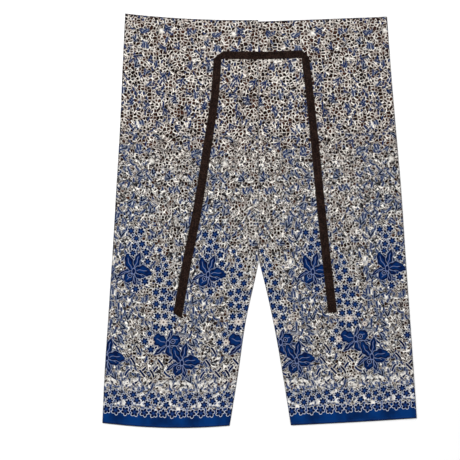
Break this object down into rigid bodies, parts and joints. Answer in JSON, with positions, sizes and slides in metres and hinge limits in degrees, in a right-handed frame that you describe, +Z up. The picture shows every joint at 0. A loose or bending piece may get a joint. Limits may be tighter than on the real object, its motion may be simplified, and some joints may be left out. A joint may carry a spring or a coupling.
{
  "type": "thai fisherman pants",
  "caption": "Wide cotton wrap trousers laid flat, back uppermost, with a floral batik print, a plain blue hem band and a dark tie sewn across the back below the waist.",
  "frame": {"origin": "middle of the outline on the surface that carries the cloth", "axes": "+X across the garment to the right leg, +Y from the hems up to the waist, +Z up through the layers to the tie"},
  "size_m": [0.7118, 0.9658, 0.0056],
  "materials": {
    "printed_cotton": "matt plain-weave cotton with an all-over batik print in cream, brown-black and navy, royal-blue flowers and a royal-blue hem band",
    "tie_cotton": "matt dark brown cotton, folded and edge-stitched"
  },
  "bodies": {
    "root": {"leg_left": "printed_cotton", "leg_right": "printed_cotton", "tie": "tie_cotton"}
  },
  "joints": []
}
